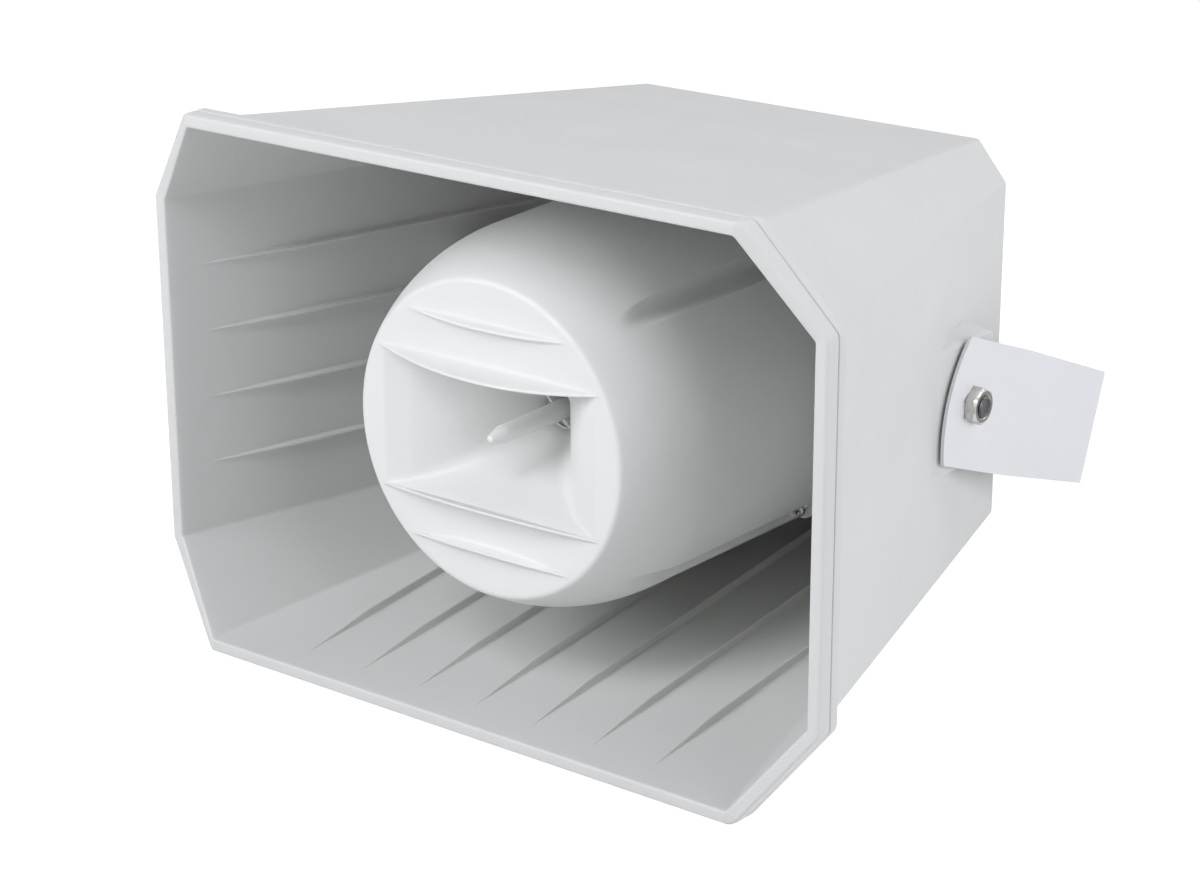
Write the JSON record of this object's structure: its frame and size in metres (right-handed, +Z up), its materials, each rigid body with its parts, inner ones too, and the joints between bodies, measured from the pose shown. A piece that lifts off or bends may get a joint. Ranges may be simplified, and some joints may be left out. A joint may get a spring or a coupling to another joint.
{
  "type": "horn loudspeaker",
  "caption": "Pale grey weatherproof horn loudspeaker with a wide chamfered mouth, a round central bell with a treble horn, and a tilting U-shaped bracket",
  "frame": {"origin": "on the horn's own axis, in the plane of the mouth's top and bottom edges", "axes": "+X to the right seen from behind the horn, across the wide way of the mouth; +Y back along the horn's axis, from the mouth to the bracket's crossbar; +Z up"},
  "size_m": [0.518, 0.4587, 0.364],
  "materials": {
    "shell_plastic": "fine mould texture",
    "bell_plastic": "satin",
    "bracket_paint": "satin powder coat",
    "stainless": "brushed",
    "dark_steel": "oiled",
    "insert_brass": "turned",
    "plated_steel": "zinc plated",
    "ferrite": "sintered",
    "housing_plastic": "matte",
    "plate_aluminium": "mill finish",
    "lamination": "varnished",
    "coil_copper": "enamelled wire",
    "coil_tape": "taped winding",
    "board_green": "solder mask",
    "board_white": "satin",
    "film_blue": "satin",
    "baffle_plastic": "matte",
    "basket_paint": "satin",
    "gasket_rubber": "matte",
    "surround_rubber": "matte",
    "spider_cloth": "woven",
    "cone_plastic": "satin",
    "dome_film": "mill finish",
    "gland_nylon": "satin"
  },
  "bodies": {
    "bracket": {"bracket": "bracket_paint"},
    "horn": {"horn_shell": "shell_plastic", "pivot_inserts": "insert_brass", "pivot_bolts": "dark_steel", "pivot_washers": "gasket_rubber", "pivot_nuts": "stainless", "bell": "bell_plastic", "bell_screws": "stainless", "phase_plug": "bell_plastic", "treble_face_plate": "plated_steel", "treble_diaphragm": "dome_film", "treble_top_plate": "plated_steel", "treble_magnet": "ferrite", "treble_yoke": "plated_steel", "treble_housing": "housing_plastic", "treble_screws": "plated_steel", "electronics_plate": "plate_aluminium", "plate_screws": "plated_steel", "transformer_core": "lamination", "transformer_coil": "coil_tape", "transformer_frame": "plated_steel", "transformer_screws": "plated_steel", "crossover_board": "board_green", "board_spacers": "board_white", "board_screws": "plated_steel", "crossover_coil": "coil_copper", "crossover_capacitors": "film_blue", "crossover_resistor": "board_white", "terminal_block": "board_green", "baffle_gasket": "gasket_rubber", "baffle": "baffle_plastic", "baffle_screws": "stainless", "bell_grommet": "gasket_rubber", "woofer_gasket": "gasket_rubber", "woofer_basket": "basket_paint", "woofer_screws": "stainless", "woofer_surround": "surround_rubber", "woofer_spider": "spider_cloth", "woofer_top_plate": "plated_steel", "woofer_magnet": "ferrite", "woofer_yoke": "plated_steel", "gland_body": "gland_nylon", "gland_seal": "gasket_rubber", "gland_locknut": "gland_nylon", "gland_cap": "gland_nylon"},
    "cone": {"woofer_cone": "cone_plastic", "dust_cap": "cone_plastic", "voice_coil": "coil_copper"}
  },
  "joints": [
    {"name": "tilt", "type": "hinge", "parent": "bracket", "child": "horn", "pos_m": [0, 0.2764, 0], "axis": [1, 0, 0], "range_deg": [-61, 20]},
    {"name": "cone_travel", "type": "slide", "parent": "horn", "child": "cone", "axis": [0, 1, 0], "range_m": [-0.003, 0.003], "stiffness_N_per_m": 1500, "deforming": ["woofer_surround", "woofer_spider"]}
  ]
}
